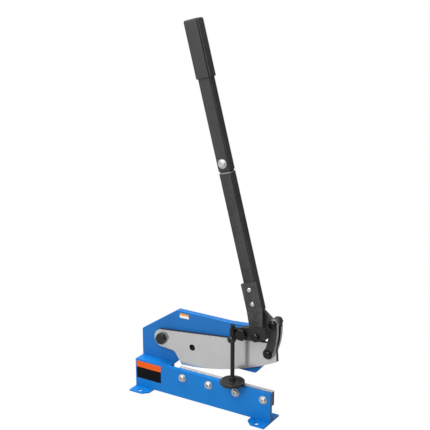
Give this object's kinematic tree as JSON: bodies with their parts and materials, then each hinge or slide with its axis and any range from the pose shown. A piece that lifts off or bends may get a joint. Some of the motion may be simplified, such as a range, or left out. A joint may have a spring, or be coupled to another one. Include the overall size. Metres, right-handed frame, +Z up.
{
  "type": "bench plate shear",
  "caption": "Hand-operated bench plate shear with a blue steel frame, a long two-piece lever, a curved moving blade worked by a pair of links, and a round-foot hold-down.",
  "frame": {"origin": "midway between the two bench bolt holes, on the surface that the feet stand on", "axes": "+X along the base towards the end that carries the lever, +Y from the user's side to the back, +Z up"},
  "size_m": [0.3763, 0.1035, 0.8936],
  "materials": {
    "blue_paint": "satin",
    "ground_steel": "brushed",
    "bright_zinc": "satin",
    "black_steel": "satin",
    "black_paint": "satin",
    "charcoal_paint": "matte",
    "black_rubber": "matte"
  },
  "bodies": {
    "frame": {"front_plate": "blue_paint", "rear_plate": "blue_paint", "spacer_block": "blue_paint", "left_foot": "blue_paint", "right_foot": "blue_paint", "lower_blade": "ground_steel", "lower_blade_screws": "bright_zinc", "lower_blade_washers": "bright_zinc", "blade_pivot_bolt": "black_steel", "blade_shim": "black_steel", "blade_pivot_nut": "black_steel", "lever_pivot_bolt": "black_steel", "lever_sleeve": "bright_zinc", "lever_pivot_washer": "black_steel", "lever_pivot_nut": "black_steel", "hold_down_bar": "black_paint", "rod_holder": "black_paint", "holder_bolt": "black_steel", "holder_nut": "black_steel"},
    "blade": {"moving_blade": "ground_steel", "blade_link_pin": "black_steel"},
    "lever": {"lever_plate": "charcoal_paint", "cheek_plate": "charcoal_paint", "cheek_bolts": "bright_zinc", "cheek_nuts": "bright_zinc", "lower_tube": "charcoal_paint", "tube_joiner": "charcoal_paint", "joint_bolt": "bright_zinc", "joint_washer": "bright_zinc", "joint_nut": "bright_zinc", "upper_tube": "charcoal_paint", "hand_grip": "black_rubber", "upper_link_pin": "black_steel", "upper_link_nut": "black_steel"},
    "link": {"front_link": "charcoal_paint", "rear_link": "charcoal_paint", "lower_pin_head": "black_steel", "lower_pin_nut": "black_steel"},
    "hold_down": {"hold_down_rod": "black_paint", "pressure_disc": "black_paint"},
    "clamp": {"clamp_screw": "black_steel"}
  },
  "joints": [
    {"name": "lever_hinge", "type": "hinge", "parent": "frame", "child": "lever", "pos_m": [0.151, 0.0375, 0.208], "axis": [0, 1, 0], "range_deg": [0, 112]},
    {"name": "blade_hinge", "type": "hinge", "parent": "frame", "child": "blade", "pos_m": [-0.1195, 0.0375, 0.134], "axis": [0, 1, 0], "range_deg": [0, 14]},
    {"name": "link_hinge", "type": "hinge", "parent": "lever", "child": "link", "pos_m": [0.18118, 0.0375, 0.23666], "axis": [0, 1, 0], "range_deg": [-123.5, 0]},
    {"name": "hold_down_slide", "type": "slide", "parent": "frame", "child": "hold_down", "axis": [0, 0, 1], "range_m": [-0.008, 0.08]},
    {"name": "clamp_screw_turn", "type": "hinge", "parent": "frame", "child": "clamp", "pos_m": [0.094, 0.0045, 0.1935], "axis": [0, -1, 0], "range_deg": [0, 180]}
  ],
  "couplings": [
    {"joint": "blade_hinge", "follows": "lever_hinge", "ratio": 0.12053},
    {"joint": "link_hinge", "follows": "lever_hinge", "ratio": -1.0957}
  ]
}
